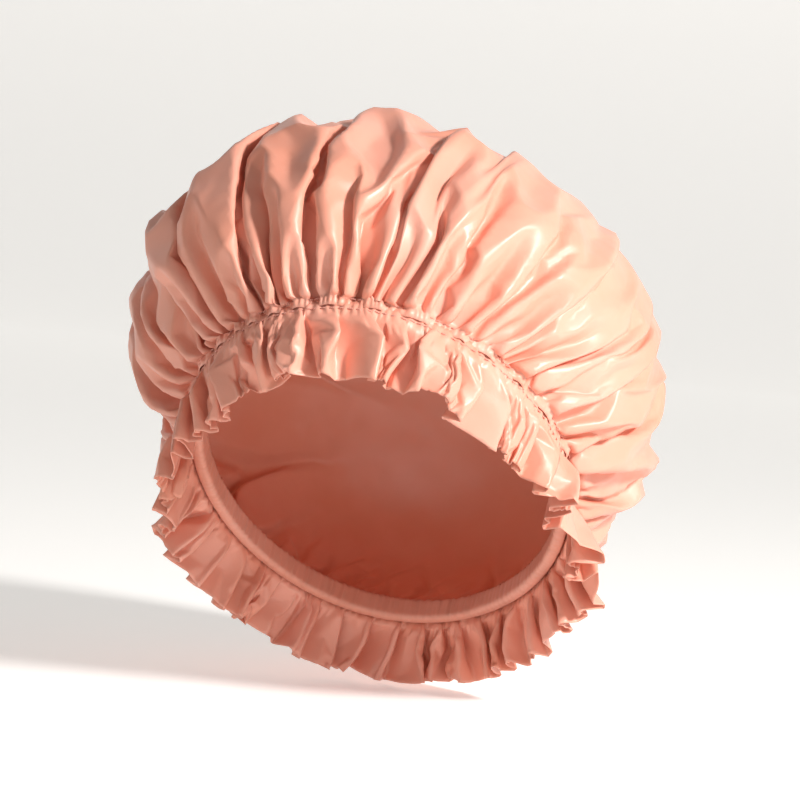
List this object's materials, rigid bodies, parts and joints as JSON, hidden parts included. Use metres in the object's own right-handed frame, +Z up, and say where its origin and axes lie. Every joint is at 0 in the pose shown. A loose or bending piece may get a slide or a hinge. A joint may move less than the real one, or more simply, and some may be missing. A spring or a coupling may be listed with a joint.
{
  "type": "bouffant shower cap",
  "caption": "Full, gathered shower cap of soft pink film with a wrapped elastic band and a pleated frill, shaped as worn to keep hair dry.",
  "frame": {"origin": "middle of the head opening, in the plane of the elastic band", "axes": "+Z up as worn, -Y towards the forehead, +X towards the wearer's left ear; the band's plane leans back, high at the forehead and low at the nape"},
  "size_m": [0.228, 0.253, 0.247],
  "materials": {
    "film": "satin",
    "wrap_film": "satin",
    "elastic": "matte",
    "thread": "matte"
  },
  "bodies": {
    "root": {"crown": "film", "frill": "film", "elastic_wrap": "wrap_film", "elastic_band": "elastic", "crown_seam_thread": "thread", "frill_seam_thread": "thread", "elastic_join_thread": "thread"}
  },
  "joints": []
}
